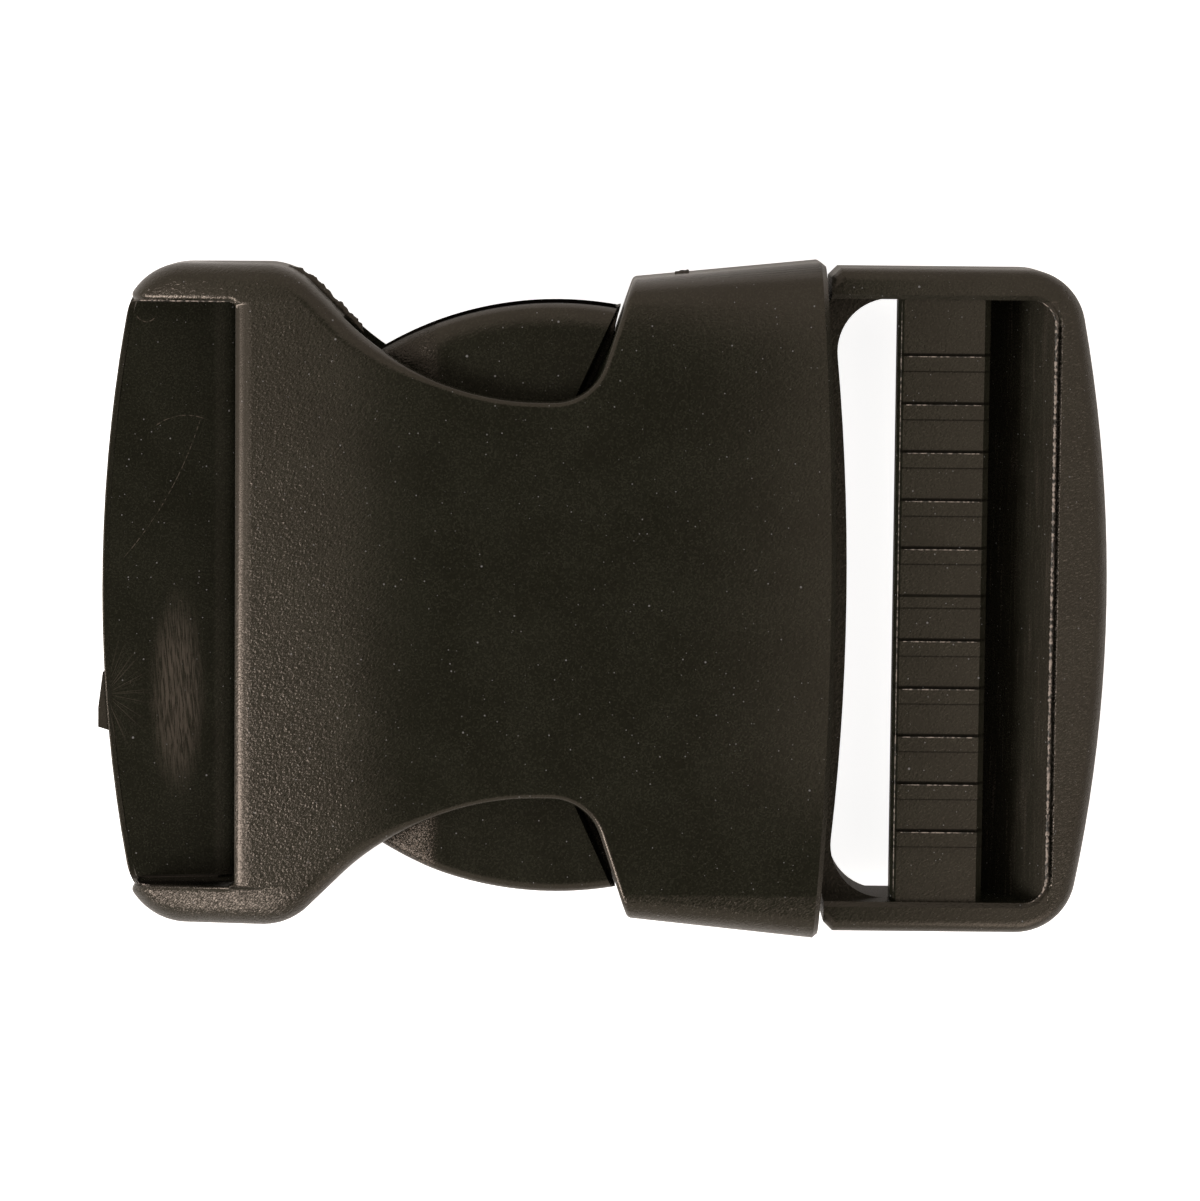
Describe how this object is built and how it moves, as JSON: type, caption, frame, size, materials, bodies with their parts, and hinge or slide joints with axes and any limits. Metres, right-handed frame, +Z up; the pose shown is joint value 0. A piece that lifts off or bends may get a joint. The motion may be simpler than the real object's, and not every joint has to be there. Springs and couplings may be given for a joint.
{
  "type": "side-release buckle",
  "caption": "Side-release buckle for 50 mm webbing: a socket half with a sewn-webbing loop, and a plug half with squeezable side arms and a ribbed strap adjuster.",
  "frame": {"origin": "on the resting plane, under the middle of the bounding box of the latched buckle", "axes": "+X along the webbing from the socket half to the plug half, +Z up out of the flat face, +Y across the webbing"},
  "size_m": [0.0872, 0.0582, 0.0135],
  "materials": {
    "receiver_acetal": "black acetal, satin with a fine moulded grain",
    "latch_acetal": "black acetal, satin with a fine moulded grain"
  },
  "bodies": {
    "receiver": {"receiver_body": "receiver_acetal"},
    "latch": {"latch_frame": "latch_acetal", "guide_tongue": "latch_acetal"},
    "upper_arm": {"upper_arm_spring": "latch_acetal", "upper_arm_head": "latch_acetal"},
    "lower_arm": {"lower_arm_spring": "latch_acetal", "lower_arm_head": "latch_acetal"}
  },
  "joints": [
    {"name": "latch_slide", "type": "slide", "parent": "receiver", "child": "latch", "axis": [1, 0, 0], "range_m": [0, 0.05], "deforming": ["upper_arm_spring", "upper_arm_head", "lower_arm_spring", "lower_arm_head"]},
    {"name": "upper_arm_press", "type": "hinge", "parent": "latch", "child": "upper_arm", "pos_m": [0.018, 0.02015, 0.00675], "axis": [0, 0, 1], "range_deg": [0, 11], "stiffness_Nm_per_rad": 2},
    {"name": "lower_arm_press", "type": "hinge", "parent": "latch", "child": "lower_arm", "pos_m": [0.018, -0.02015, 0.00675], "axis": [0, 0, -1], "range_deg": [0, 11], "stiffness_Nm_per_rad": 2}
  ]
}
